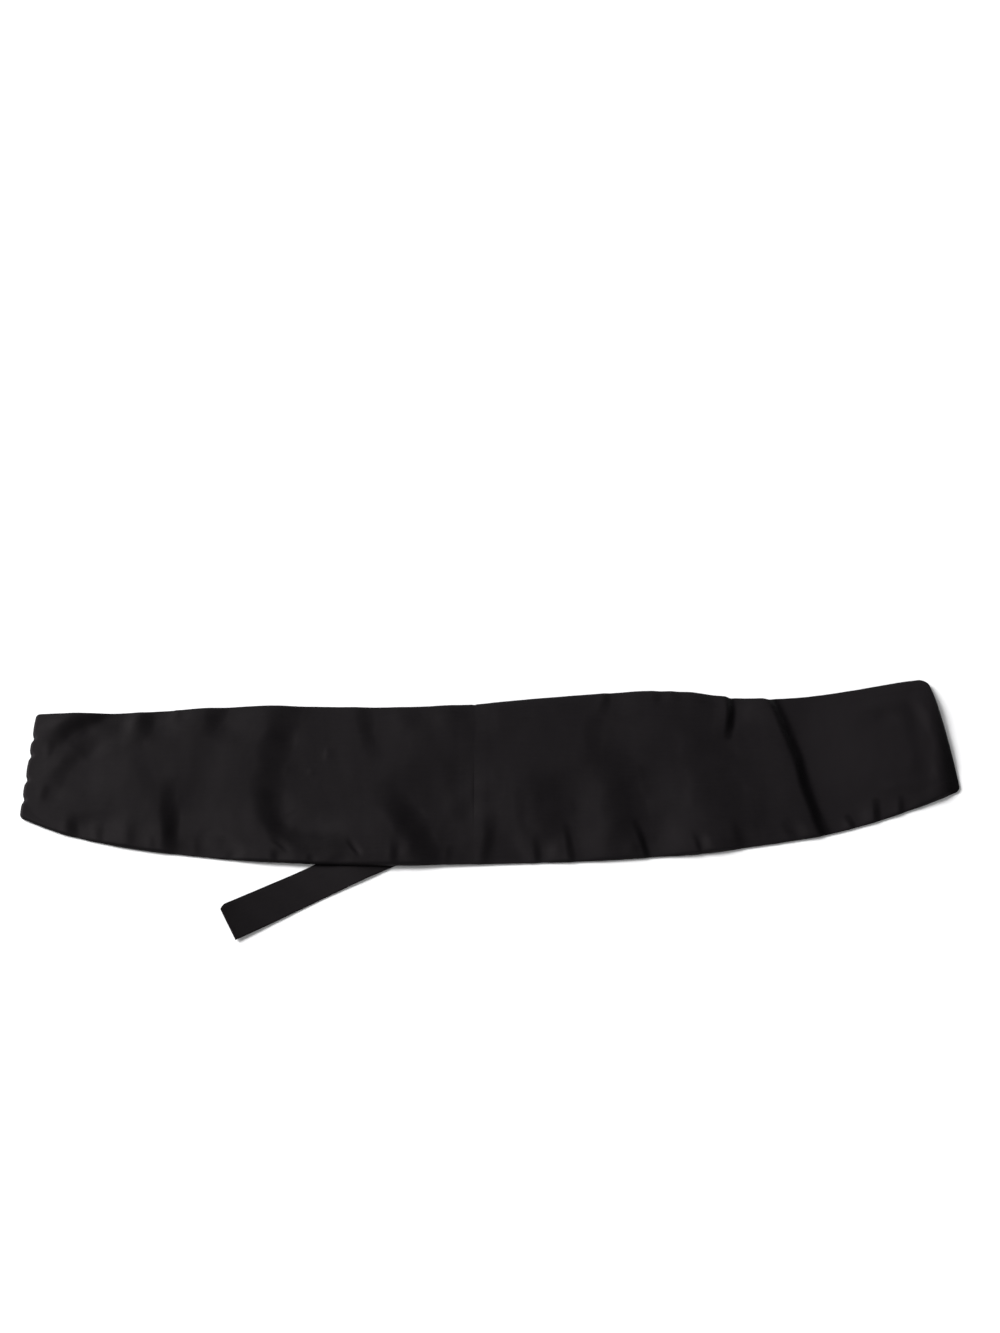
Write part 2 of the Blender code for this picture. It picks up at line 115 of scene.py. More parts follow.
# Creases of the face. The cloth rises by rise over rise_w before the line, falls across it between -half and +half, and
# comes back over back_w beyond it. The side that it falls to is the right one for a route that runs down the panel, and
# the lower one for a route that runs to the left. A route whose end lies on an edge runs off that edge.
#  name            route                                                              rise  rise_w half  drop  back_w
CREASES = (
    ("corner_dark",  ((-241, 62), (-252, 54), (-263, 48), (-274, 41), (-282, 35), (-288, 29)),     0.8,  15.0,  7.8,  3.9,  27.0),
    ("corner_tail",  ((-288, 28), (-290, 13)),                                         0.1,   4.0,  2.6,  0.3,  14.0),
    ("corner_soft",  ((-232, 46), (-244, 38), (-259, 28), (-271, 17), (-281, 3), (-289, -12)), 0.3, 12.0,  7.0,  1.2,  34.0),
    ("corner_spot",  ((-289, -6), (-291, -20)),                                        0.1,   4.0,  3.0,  0.6,  20.0),
    ("tonal_step",   ((-236, 44), (-229, 15), (-225, 3), (-218, -13), (-208, -26)),    0.4,  28.0,  7.0,  0.1,  18.0),
    ("upper_143",    ((-224, 61), (-226, 48), (-229, 30)),                             0.9,  10.0,  7.4,  2.4,  24.0),
    ("upper_178",    ((-204, 58), (-204, 40)),                                         0.1,   4.0,  3.4,  0.4,   9.0),
    ("upper_213",    ((-176, 60), (-180, 42), (-183, 30)),                             0.3,  12.0,  7.4,  2.0,  28.0),
    ("tail_213",     ((-183, 30), (-188, 14), (-194, -2), (-201, -18)),                0.1,  10.0,  9.0,  0.2,  18.0),
    ("lower_172",    ((-208, -6), (-206, -22), (-204, -40), (-202, -66)),              0.5,  14.0,  6.8,  3.0,  60.0),
    ("broad",        ((-125, 60), (-132, 40), (-137, 16), (-140, -6), (-140, -28)),    0.7,  34.0, 11.5,  2.6,  90.0),
    ("broad_hook",   ((-141, -16), (-136, -35), (-123, -46), (-107, -49), (-90, -49)), 0.2,  10.0,  8.0,  2.0,  18.0),
    ("broad_foot",   ((-90, -57), (-104, -53), (-120, -48)),                           0.2,   8.0,  5.0,  0.6,   9.0),
    ("hem_275",      ((-134, -54), (-132, -68)),                                       0.1,   4.0,  3.0,  0.9,  13.0),
    ("slit_280",     ((-136, -48), (-130, -52), (-124, -57)),                          0.1,   2.0,  0.9,  0.6,   6.0),
    ("hem_196",      ((-188, -44), (-185, -50), (-184, -66)),                          0.1,   4.0,  2.6,  0.8,  13.0),
    ("blob_226",     ((-153, -52), (-163, -47), (-173, -43)),                          0.1,   5.0,  3.4,  0.7,  16.0),
    ("hem_226",      ((-163, -54), (-164, -66)),                                       0.1,   5.0,  3.4,  0.5,   9.0),
    ("hem_70",       ((-271, -29), (-270, -38), (-269, -50)),                          0.1,   5.0,  4.6,  1.7,  34.0),
    ("hem_97",       ((-252, -32), (-250, -52)),                                       0.2,   5.0,  3.0,  0.3,  16.0),
    ("hem_131",      ((-230, -34), (-229, -58)),                                       0.1,   6.0,  4.2,  0.35, 18.0),
    ("hem_153",      ((-216, -44), (-213, -60)),                                       0.1,   4.0,  2.2,  0.3,   6.0),
    ("hem_308",      ((-110, -58), (-109, -70)),                                       0.1,   3.0,  1.8,  0.6,   6.0),
    ("hem_333",      ((-94, -58), (-93, -70)),                                         0.1,   5.0,  4.6,  0.8,  10.0),
    ("slit_354",     ((-85, -49), (-81, -54), (-76, -60)),                             0.1,   2.0,  1.0,  0.9,   4.0),
    ("upper_365",    ((-77, 60), (-75, 42), (-73, 30), (-66, 12)),                     0.4,  20.0,  6.4,  1.4,  38.0),
    ("mid_390",      ((-46, 58), (-43, 44), (-42, 32)),                                0.1,   8.0,  8.0,  0.9,  18.0),
    ("upper_450",    ((-10, 60), (-9, 42), (-8, 26)),                                  0.2,  14.0,  9.0,  1.0,  18.0),
    ("soft_453",     ((-20, 14), (-15, 0), (-12, -16)),                               0.1,   8.0,  7.0,  0.7,  24.0),
    ("soft_460",     ((-9, -14), (-10, -34)),                                          0.1,   6.0,  5.6,  0.6,  12.0),
    ("diag_412",     ((-60, -12), (-50, -26), (-40, -40), (-33, -53), (-27, -70)),     1.2,  36.0, 11.5,  3.3,  80.0),
    ("hem_392",      ((-53, -49), (-53, -70)),                                         0.1,   4.0,  3.2,  1.0,  24.0),
    ("hem_449",      ((-16, -53), (-16, -70)),                                         0.1,   5.0,  3.0,  1.5,  18.0),
    ("hem_461",      ((-9, -57), (-9, -70)),                                           0.1,   3.0,  1.6,  0.4,   5.0),
    ("lower_488",    ((11, -30), (11, -46), (10, -70)),                                0.3,   9.0,  5.6,  2.4,  54.0),
    ("hem_505",      ((18, -46), (22, -54), (28, -68)),                                0.1,   4.0,  4.4,  0.6,   8.0),
    ("crest_515",    ((32, -6), (31, -30), (36, -42), (41, -52), (43, -68)),           0.2,  13.0,  3.8,  0.3,   8.0),
    ("lower_538",    ((41, -44), (43, -56), (44, -70)),                                0.1,   4.0,  2.8,  1.3,  24.0),
    ("hollow_545",   ((46, 2), (51, -28), (55, -56)),                                  0.3,  10.0, 16.0,  3.4,  52.0),
    ("lower_570",    ((62, -37), (64, -48), (67, -70)),                                0.1,   3.0,  2.8,  1.7,  24.0),
    ("big_610",      ((94, 16), (98, -2), (101, -20), (104, -38), (108, -60)),         0.5,  18.0, 15.5,  4.9,  60.0),
    ("lower_645",    ((109, -34), (113, -46), (118, -66)),                             0.1,   3.0,  2.6,  2.2,  30.0),
    ("upper_607",    ((94, 74), (91, 58), (88, 48)),                                   0.2,   6.0,  3.6,  1.2,  20.0),
    ("mid_596",      ((86, 52), (82, 37), (81, 20), (80, 2)),                          0.2,  16.0,  7.0,  0.7,  40.0),
    ("upper_657",    ((126, 74), (126, 54)),                                           0.1,   4.0,  2.8,  0.6,   8.0),
    ("upper_677",    ((137, 73), (142, 58)),                                           0.1,   4.0,  2.8,  0.5,   8.0),
    ("upper_714",    ((157, 72), (161, 46)),                                           0.2,  10.0,  8.0,  1.0,  14.0),
    ("short_crease", ((177, 72), (177, 56), (176, 44), (174, 31)),                     0.6,  10.0,  3.4,  3.9,  60.0),
    ("dark_720",     ((160, 48), (160, 12), (165, -14), (172, -34), (178, -60)),       1.3,  66.0, 18.0,  2.2, 110.0),
    ("hem_697",      ((147, -42), (150, -50), (153, -64)),                             0.1,   3.0,  1.8,  1.1,   8.0),
    ("hem_741",      ((173, -32), (177, -42), (180, -58)),                             0.1,   5.0,  3.6,  0.8,  10.0),
    ("hem_784",      ((207, -35), (213, -42), (218, -52)),                             0.1,   5.0,  3.4,  1.0,   9.0),
    ("crease",       ((203, 74), (207, 60), (214, 40), (222, 10), (227, -14), (232, -30), (236, -41), (241, -58)), 1.2, 28.0, 5.4, 4.3, 84.0),
    ("hem_849",      ((252, -29), (255, -35), (258, -46)),                             0.7,  12.0,  2.8,  1.1,  14.0),
    ("hem_877",      ((272, -18), (272, -28), (273, -42)),                             0.7,  12.0,  3.2,  1.5,  14.0),
    ("hem_901",      ((289, -15), (289, -22), (289, -34)),                             0.2,   3.0,  2.4,  1.3,  12.0),
    ("comma",        ((290, 56), (299, 42), (303, 26), (303, 8), (299, -4)),           0.2,  20.0,  7.0,  0.9,   9.0),
    ("comma_top",    ((296, 49), (282, 51), (266, 48)),                                0.1,   6.0,  5.4,  0.8,  12.0),
    ("end_foot",     ((313, -7), (296, -9), (276, -10)),                               0.4,   6.0,  3.2,  0.3,   6.0),
    ("end_fall",     ((322, 72), (320.8, 56), (320.6, 40), (321.0, 22), (321.9, 4), (323.0, -14)), 0.7, 12.0, 7.6,  3.0,  30.0),
    ("nick",         ((-97, 22), (-98, 12)),                                           0.25,  2.6,  3.0,  0.0,   3.0),
    ("nick_low",     ((-107, 6), (-110, -1)),                                          0.18,  2.6,  3.0,  0.0,   3.0),
)

# Beyond these the cloth starts to come back at once, the others flatten out first.
OPEN_AT_ONCE = ("crease", "short_crease")

# Broad rises and hollows of the face.
#  x       y      height  reach_x  reach_y
HILLS = (
    (-44.0,  -56.0,   0.6,    5.0,    6.0),
    (56.0,   -54.0,   0.5,    4.5,    6.0),
    (106.0,  -54.0,   0.7,    5.0,    6.0),
    (-168.0,  -2.0,   0.4,   14.0,   26.0),
    (120.0,   20.0,   0.5,   18.0,   34.0),
    (306.0,   16.0,   0.4,   30.0,   46.0),
    (198.0,   60.0,   0.8,   17.0,   16.0),
    (-284.0,  46.0,   2.2,   34.0,   18.0),
    (-228.0,  47.0,   1.2,   12.0,   13.0),
    (256.0,  -36.0,   1.6,   14.0,    9.0),
    (276.0,  -28.0,   0.9,   12.0,    9.0),
)


# ---------------------------------------------------------------- curves
def smooth(t):
    t = np.clip(t, 0.0, 1.0)
    return t * t * (3.0 - 2.0 * t)


def hermite(table, column, x):
    xs = np.array([row[0] for row in table], float)
    ys = np.array([row[column] for row in table], float)
    slope = np.gradient(ys, xs)
    x = np.clip(x, xs[0], xs[-1])
    i = np.clip(np.searchsorted(xs, x) - 1, 0, len(xs) - 2)
    h = xs[i + 1] - xs[i]
    t = (x - xs[i]) / h
    return ((1 + 2 * t) * (1 - t) ** 2 * ys[i] + t * (1 - t) ** 2 * h * slope[i]
            + t * t * (3 - 2 * t) * ys[i + 1] + t * t * (t - 1) * h * slope[i + 1])


def through(points, step):
    """Points every step mm along a smooth curve through the given ones."""
    p = np.array(points, float)
    p = np.vstack([2 * p[0] - p[1], p, 2 * p[-1] - p[-2]])
    dense = []
    for i in range(1, len(p) - 2):
        t = np.linspace(0, 1, 24, endpoint=False)[:, None]
        dense.append(0.5 * (2 * p[i] + (p[i + 1] - p[i - 1]) * t
                            + (2 * p[i - 1] - 5 * p[i] + 4 * p[i + 1] - p[i + 2]) * t ** 2
                            + (3 * p[i] - p[i - 1] - 3 * p[i + 1] + p[i + 2]) * t ** 3))
    dense = np.vstack(dense + [p[-2:-1]])
    run = np.concatenate([[0], np.cumsum(np.linalg.norm(np.diff(dense, axis=0), axis=1))])
    wanted = np.arange(0, run[-1], step)
    return np.stack([np.interp(wanted, run, dense[:, k]) for k in (0, 1)], axis=1)


def tie_line(points, step=1.0):
    line = through(points, step)
    first = int(round(TIE_SEWN_IN / step))
    return line[first:first + int(round(TIE_LENGTH / step)) + 1]


RIGHT_LINE, LEFT_LINE = tie_line(RIGHT_TIE), tie_line(LEFT_TIE)


def lift(x, y):
    """How far the panel is raised where it lies over a tie. The rises over the two ties flow into each other."""
    level = np.ones(np.shape(x))
    for line in (RIGHT_LINE, LEFT_LINE):
        nearest = np.full(np.shape(x), 1e9)
        knots = np.vstack([line[::5], line[-1]])
        for (ax, ay), (bx, by) in zip(knots[:-1], knots[1:]):
            gx, gy = bx - ax, by - ay
            t = np.clip(((x - ax) * gx + (y - ay) * gy) / (gx * gx + gy * gy + 1e-9), 0, 1)
            nearest = np.minimum(nearest, np.hypot(x - ax - t * gx, y - ay - t * gy))
        level = level * smooth((nearest - TIE_WIDTH / 2 - LIFT_FLAT) / LIFT_RAMP)
    return LIFT * (1.0 - level)


def fields(x, y, cell, octaves, seed):
    """Smooth fixed noise over the panel, about -1 to 1; cell is the size of its features along and across."""
    out = np.empty(x.size)
    for k, (a, b) in enumerate(zip(x.ravel() / cell[0], y.ravel() / cell[1])):
        out[k] = noise.fractal(Vector((a, b, seed)), 1.0, 2.0, octaves)
    return out.reshape(x.shape)


# ---------------------------------------------------------------- relief of the face
def relief(x, y):
    """Depth of the creases at each point, positive down."""
    total = np.zeros(x.shape)
    for order, (name, route, rise, rise_w, half, drop, back_w) in enumerate(CREASES):
        line = np.vstack([through(route, 1.5), route[-1]])
        before, beyond = half + rise_w, half + back_w
        reach = max(before, beyond)
        near = ((x > line[:, 0].min() - reach) & (x < line[:, 0].max() + reach)
                & (y > line[:, 1].min() - reach) & (y < line[:, 1].max() + reach))
        if not near.any():
            continue
        px, py = x[near], y[near]
        seg = np.diff(line, axis=0)
        size = np.linalg.norm(seg, axis=1)
        run = np.concatenate([[0], np.cumsum(size)])
        best, across, along = np.full(px.shape, 1e9), np.zeros(px.shape), np.zeros(px.shape)
        for k in range(len(seg)):
            rx, ry = px - line[k, 0], py - line[k, 1]
            t = (rx * seg[k, 0] + ry * seg[k, 1]) / size[k] ** 2
            held = np.clip(t, 0, 1)
            off = np.hypot(rx - held * seg[k, 0], ry - held * seg[k, 1])
            side = (seg[k, 0] * ry - seg[k, 1] * rx) / size[k]
            closer = off < best
            best = np.where(closer, off, best)
            inner = k not in (0, len(seg) - 1)
            signed = np.sign(side) * off if inner else side
            across = np.where(closer, signed, across)
            along = np.where(closer, run[k] + (held if inner else t) * size[k], along)
        whole = run[-1]
        # its width and strength change a little along it
        close = np.exp(-np.maximum(np.abs(across) - half, 0.0) / 3.0)
        ripple = 1.0 + close * (0.10 * np.sin(along * (0.13 + 0.011 * (order % 5)) + order) + 0.03 * np.sin(along * 0.41 + 2 * order))
        straight = name in OPEN_AT_ONCE
        w = half * (1.0 + (0.06 if straight else 0.12) * close * np.sin(along * 0.23 + 1.7 * order))
        if straight:
            across = across + 0.40 * np.sin(along * 0.17 + 0.6) + 0.10 * np.sin(along * 0.45 + 2.1)
        climb = rise * smooth((across + w + rise_w) / rise_w) * (across < -w)
        fall = (rise - (rise + drop) * smooth((across + w) / (2 * w))) * (np.abs(across) <= w)
        gone_back = np.clip((across - w) / back_w, 0.0, 1.0)
        back = -drop * ((1.0 - gone_back) ** 1.5 if straight else 1.0 - smooth(gone_back)) * (across > w)
        shape = climb + fall + back
        # a crease whose end is inside the panel fades out there
        fade = np.ones(px.shape)
        inside = min(0.45 * whole, 6.0 + 9.0 * (rise + drop))
        outside = 0.35 * inside
        for end, gone in ((route[0], along), (route[-1], whole - along)):
            low, high = hermite(EDGES, 1, end[0]), hermite(EDGES, 2, end[0])
            if end[1] > low - 1.0 and end[1] < high + 1.0:
                fade = fade * smooth((gone + outside) / (inside + outside))
        total[near] -= shape * fade * ripple
    for hx, hy, height, rx, ry in HILLS:
        total -= height * np.exp(-((x - hx) / rx) ** 2 - ((y - hy) / ry) ** 2)
    return total


def loft(x, y, d, v, to_left, to_right, to_long, dents):
    """Height of the face's outer side above what it lies on."""
    # the loft builds up slowly from the left end and quickly from the long edges
    gentle = -6.0 * np.log(np.exp(-to_long / 6.0) + np.exp(-to_left * 0.26 / 6.0) + np.exp(-(to_right + 16.0) / 6.0))
    gentle = np.clip(gentle, 0.0, None)
    rise = EDGE_H + PUFF * (1.0 - np.exp(-gentle / PUFF_REACH))
    cut = dents * (0.78 + 0.22 * smooth(to_long / 7.0))
    # turned-in allowances beside the outer edges and the centre seam
    step = 0.45 + 0.55 * smooth(0.5 + 0.9 * fields(x, y, (26.0, 60.0), 1, 3.0))
    rise = rise + ALLOWANCE_STEP * step * (1.0 - smooth((to_long - ALLOWANCE + 1.2) / 2.4)) * smooth(to_long / 3.0)
    rise = rise + 0.05 * (1.0 - smooth((np.abs(x) - 8.0) / 3.0))
    seam_dip = 0.03 + 0.15 * np.exp(-(((y + 12.0) / 18.0) ** 2)) + 0.2 * np.exp(-np.clip(57.0 - y, 0.0, None) / 3.0)
    # the centre seam draws the face down into a narrow groove
    rise = rise - 0.03 * np.exp(-((x / 3.0) ** 2)) - seam_dip * np.where(x < 0, np.exp(np.minimum(x, 0.0) / 0.8), np.exp(-np.maximum(x, 0.0) / 18.0))
    # the left end is drawn in at its tacks and puffs between them
    for at in LEFT_TACKS:
        cut = cut + 1.1 * np.exp(-(((v - at) / 0.026) ** 2)) * np.exp(-((to_left / 1.6) ** 2))
    rise = rise + 0.2 * np.exp(-to_left / 6.0) * smooth(to_left / 1.5)
    # slack of the cloth
    slack = 0.22 * fields(x, y, (34.0, 62.0), 3, 11.0) + 0.045 * fields(x, y, (8.0, 15.0), 3, 5.0)
    rise = rise + slack * smooth(d / 14.0) + 0.05 * fields(x, y, (6.0, 9.0), 1, 8.0) * (1.0 - smooth(d / 16.0))
    h = rise - cut
    k = 0.45
    return HEIGHT_MIN + k * np.log1p(np.exp(np.clip((h - HEIGHT_MIN) / k, -30, 30)))


# ---------------------------------------------------------------- the panel's grid
def fan_x(share, column):
    middle = [(row[0] + row[1]) / 2 for row in FAN]
    at = middle[0] + share * (middle[-1] - middle[0])
    return np.interp(at, middle, [row[column] for row in FAN])


WHOLE = (FAN[-1][0] + FAN[-1][1] - FAN[0][0] - FAN[0][1]) / 2
SEAM_AT = -(FAN[0][0] + FAN[0][1]) / 2          # distance of the centre seam from the left end
EDGE_STEPS = (0.0, 0.12, 0.34, 0.66, 1.05, 1.55, 2.2, 3.0, 4.0)


def even(a, b, step):
    n = max(1, int(round((b - a) / step)))
    return [a + (b - a) * k / n for k in range(1, n)]


def plan(along, rows, inset):
    """Plan positions and edge distances of a grid given by distances from the left end and row numbers.
    rows are (distance from lower edge, distance from upper edge, share) with one of the first two None."""
    n, m = len(along), len(rows)
    s = np.repeat(np.array(along)[:, None], m, axis=1)
    share0 = s / WHOLE
    xl, xh = fan_x(share0, 0), fan_x(share0, 1)
    height = np.hypot(xh - xl, hermite(EDGES, 2, xh) - hermite(EDGES, 1, xl))
    low = np.empty((n, m))
    for j, (a, b, t) in enumerate(rows):
        if a is not None:
            low[:, j] = a
        elif b is not None:
            low[:, j] = height[:, j] - b
        else:
            low[:, j] = EDGE_STEPS[-1] + inset * 0 + (height[:, j] - 2 * EDGE_STEPS[-1]) * t
    high = height - low
    left, right = s.copy(), WHOLE - s
    # round the corners: the grid's square corner is pressed into a quarter circle
    d = np.minimum(np.minimum(low, high), np.minimum(left, right))
    for edge, radii in CORNERS.items():
        for end, radius in zip(("left", "right"), radii):
            across = low if edge == "lower" else high
            ahead = left if end == "left" else right
            near = (across < radius) & (ahead < radius)
            if not near.any():
                continue
            p, q = 1 - ahead[near] / radius, 1 - across[near] / radius
            p2, q2 = p * np.sqrt(1 - q * q / 2), q * np.sqrt(1 - p * p / 2)
            moved_ahead, moved_across = radius * (1 - p2), radius * (1 - q2)
            if end == "left":
                left[near] = moved_ahead
                right[near] = WHOLE - moved_ahead
            else:
                right[near] = moved_ahead
                left[near] = WHOLE - moved_ahead
            if edge == "lower":
                low[near] = moved_across
                high[near] = height[near] - moved_across
            else:
                high[near] = moved_across
                low[near] = height[near] - moved_across
            d[near] = radius * (1 - np.hypot(p2, q2))
    share = left / WHOLE
    xl, xh = fan_x(share, 0), fan_x(share, 1)
    yl, yh = hermite(EDGES, 1, xl), hermite(EDGES, 2, xh)
    height = np.hypot(xh - xl, yh - yl)
    v = low / height
    x, y = xl + (xh - xl) * v, yl + (yh - yl) * v
    tack = sum(np.exp(-(((v - at) / 0.030) ** 2)) for at in LEFT_TACKS)
    puff = sum(np.exp(-(((v - at) / 0.060) ** 2)) for at in (0.08, 0.26, 0.47, 0.67, 0.88))
    x = x + (TACK_DEPTH * tack - 0.25 * puff) * smooth(1.0 - left / 9.0)
    x = x + RIGHT_BOW * 4 * v * (1 - v) * smooth(1.0 - right / 40.0)
    return x, y, d, v, left, right, low, high


def row_list(count, inset=0.0):
    steps = [e for e in EDGE_STEPS if e >= inset]
    if inset and steps[0] > inset:
        steps = [inset] + steps
    rows = [(e, None, None) for e in steps]
    rows += [(None, None, k / count) for k in range(1, count)]
    rows += [(None, e, None) for e in reversed(steps)]
    return rows


def new_mesh(name, verts, faces, attributes=()):
    mesh = bpy.data.meshes.new(name)
    mesh.from_pydata([((x - ORIGIN[0]) * MM, (y - ORIGIN[1]) * MM, z * MM) for x, y, z in verts], [], faces)
    for label, values in attributes:
        layer = mesh.attributes.new(label, "FLOAT", "POINT")
        layer.data.foreach_set("value", np.asarray(values, np.float32))
    mesh.update()
    made = bpy.data.objects.new(name, mesh)
    bpy.context.scene.collection.objects.link(made)
    mesh.shade_smooth()
    return made


def thicken(piece, thickness):
    wall = piece.modifiers.new("wall", "SOLIDIFY")
    wall.thickness = thickness * MM
    wall.offset = -1.0
    wall.use_even_offset = False
    wall.use_rim = True
    bpy.context.view_layer.update()
    walled = bpy.data.meshes.new_from_object(piece.evaluated_get(bpy.context.evaluated_depsgraph_get()))
    piece.modifiers.clear()
    piece.data = walled
    walled.set_sharp_from_angle(angle=math.radians(62.0))
    return piece


UNDER = ((0.16, 0.84), (0.46, 0.50), (0.95, 0.28), (1.55, 0.20), (2.05, 0.20), (2.35, 0.38), (2.42, 0.70))


# Folds along which the satin's colour is darkened with painted shade.
#  name            half width  how much
PAINTED_SHADE_FOLDS = (
    ("crease",          4.6,     1.9),
    ("short_crease",    3.0,     1.2),
    ("corner_dark",     7.0,     1.1),
    ("upper_143",       6.5,     0.6),
    ("broad_hook",      8.0,     0.9),
    ("lower_172",       5.0,     0.5),
    ("lower_488",       4.6,     0.3),
    ("lower_570",       2.8,     0.5),
    ("lower_645",       2.6,     0.8),
    ("hem_70",          3.6,     0.4),
    ("hem_449",         2.8,     0.6),
    ("hem_849",         2.6,     1.7),
    ("hem_877",         3.2,     1.7),
    ("hem_901",         2.4,     0.8),
    ("diag_412",        9.0,     0.35),
    ("big_610",        13.0,     0.35),
)


# Spots where the satin's colour is darkened a little with painted shade.
#  x       y     reach_x  reach_y  how much
PAINTED_SHADE_SPOTS = (
    (-243.0, 31.0,  13.0,   14.0,   0.9),
    (287.0,  50.0,  16.0,    7.0,   0.8),
)


def painted_light_and_shade(x, y, to_right, v):
    """Painted light and shade in the satin's colour over the panel: painted shade towards the left end, along the sharp
    folds and where the right end turns down, painted light towards the right and beyond the storage crease."""
    crease_x = np.interp(y, (-58.0, -14.0, 40.0, 74.0), (241.0, 227.0, 214.0, 203.0))
    # painted light that grows from the left end towards the right, with more painted light beyond the storage crease
    tone_and_painted_shading = 0.55 * smooth((x + 120.0) / 260.0) + 0.95 * smooth((x - crease_x - 2.0) / 10.0)
    routes = {entry[0]: entry[1] for entry in CREASES}
    for px, py, rx, ry, much in PAINTED_SHADE_SPOTS:
        tone_and_painted_shading = tone_and_painted_shading - much * np.exp(-((x - px) / rx) ** 2 - ((y - py) / ry) ** 2)
    # painted shade along the listed folds
    for name, wide, much in PAINTED_SHADE_FOLDS:
        knots = np.vstack([through(routes[name], 4.0), routes[name][-1]])
        nearest = np.full(x.shape, 1e9)
        for (ax, ay), (bx, by) in zip(knots[:-1], knots[1:]):
            gx, gy = bx - ax, by - ay
            t = np.clip(((x - ax) * gx + (y - ay) * gy) / (gx * gx + gy * gy + 1e-9), 0, 1)
            nearest = np.minimum(nearest, np.hypot(x - ax - t * gx, y - ay - t * gy))
        tone_and_painted_shading = tone_and_painted_shading - much * np.exp(-((nearest / wide) ** 4))
    # painted shade where the right end turns down
    turned = 2.5 + 8.0 * (1.0 - v)
    return tone_and_painted_shading - 3.4 * np.exp(-((np.maximum(to_right, 0.0) / turned) ** 4)) * smooth((0.86 - v) / 0.55)


def face_half(name, side):
    """One half of the face, from its end seam to the centre seam, with its outer edges rolled under."""
    near_seam = (0.0, 0.16, 0.4, 0.75, 1.2, 1.8, 2.6)
    if side == "left":
        end = SEAM_AT - SEAM_HALF
        along = list(EDGE_STEPS) + even(EDGE_STEPS[-1], end - near_seam[-1], 1.15) + [end - q for q in reversed(near_seam)]
    else:
        start = SEAM_AT + SEAM_HALF
        along = [start + q for q in near_seam] + even(start + near_seam[-1], WHOLE - EDGE_STEPS[-1], 1.15)
        along += [WHOLE - q for q in reversed(EDGE_STEPS)]
    # the end steps have to be unique and rising
    along = sorted(set(round(a, 5) for a in along))
    rows = row_list(92)
    x, y, d, v, left, right, low, high = plan(along, rows, 0.0)
    dents = relief(x, y)
    # a crease that runs off an edge draws the edge in a little
    pull = 0.16 * np.clip(dents, -1.0, 3.0) * np.exp(-d / 5.0)
    y = y + np.where(low < high, pull, -pull) * (np.minimum(low, high) < 25)
    x = x - 2.4 * np.exp(-high / 9.0) * smooth(1.0 - right / 14.0)
    # the centre seam and the two sharp creases nick the upper edge
    for at_x, wide, deep in ((0.0, 1.2, 0.45), (177.0, 2.4, 0.7), (203.5, 3.0, 0.9)):
        y = y - deep * np.exp(-((x - at_x) / wide) ** 2) * np.exp(-high / 3.0)
    wave = 0.12 * fields(x, y, (9.0, 500.0), 2, 21.0) * np.exp(-d / 4.0)
    y = y + np.where(low < high, wave, -wave)
    h = loft(x, y, d, v, left, right, np.minimum(low, high), dents)
    round_in = np.sqrt(np.clip(1 - (1 - np.clip(d / EDGE_R, 0, 1)) ** 2, 0, 1))
    ground = lift(x, y)
    z = ground + EDGE_MID + (h - EDGE_MID) * round_in
    n, m = x.shape
    verts = [(x[i, j], y[i, j], z[i, j]) for i in range(n) for j in range(m)]
    wear = list((np.exp(-d / 1.6) + 0.35 * np.clip(-dents, 0, 2)).ravel())
    at = lambda i, j: i * m + j
    faces = [(at(i, j), at(i + 1, j), at(i + 1, j + 1), at(i, j + 1)) for i in range(n - 1) for j in range(m - 1)]
    if side == "left":
        loop = [(i, 0) for i in range(n - 1, -1, -1)] + [(0, j) for j in range(1, m)] + [(i, m - 1) for i in range(1, n)]
    else:
        loop = [(i, 0) for i in range(n)] + [(n - 1, j) for j in range(1, m)] + [(i, m - 1) for i in range(n - 2, -1, -1)]
    edge = np.array([(x[i, j], y[i, j]) for i, j in loop])
    run = np.gradient(edge, axis=0)
    run /= np.linalg.norm(run, axis=1)[:, None]
    inward = np.stack([run[:, 1], -run[:, 0]], axis=1)
    if side == "right":
        inward = -inward
    inward[0], inward[-1] = (0.0, 1.0), (0.0, -1.0)
    # the inward directions are evened out, so that the rings don't bunch at small waves of the edge
    for _ in range(3):
        inward[1:-1] = (inward[:-2] + 2 * inward[1:-1] + inward[2:]) / 4
    inward /= np.linalg.norm(inward, axis=1)[:, None]
    before = [at(i, j) for i, j in loop]
    for inset, height in UNDER:
        ring = edge + inset * inward
        base = lift(ring[:, 0], ring[:, 1])
        first = len(verts)
        verts += [(ring[k, 0], ring[k, 1], base[k] + height) for k in range(len(ring))]
        wear += [0.4] * len(ring)
        for k in range(len(ring) - 1):
            quad = (before[k], before[k + 1], first + k + 1, first + k)
            faces.append(quad if side == "right" else quad[::-1])
        before = [first + k for k in range(len(ring))]
    # the grid's quads and the rings' are wound alike, with their front outward
    # painted light and shade for the satin's colour, stored on the mesh as an attribute
    tone_and_painted_shading = list(painted_light_and_shade(x, y, right, v).ravel())
    tone_and_painted_shading += [0.0] * (len(verts) - len(tone_and_painted_shading))
    piece = new_mesh(name, verts, faces, (("wear", wear), ("painted_shading", tone_and_painted_shading)))
    flip_if_down(piece)
    return thicken(piece, CLOTH)


def flip_if_down(piece):
    bm = bmesh.new()
    bm.from_mesh(piece.data)
    bmesh.ops.recalc_face_normals(bm, faces=bm.faces)
    bm.faces.ensure_lookup_table()
    top = max(bm.faces, key=lambda f: f.calc_center_median().z)
    if top.normal.z < 0:
        bmesh.ops.reverse_faces(bm, faces=bm.faces)
    bm.to_mesh(piece.data)
    bm.free()
    piece.data.shade_smooth()


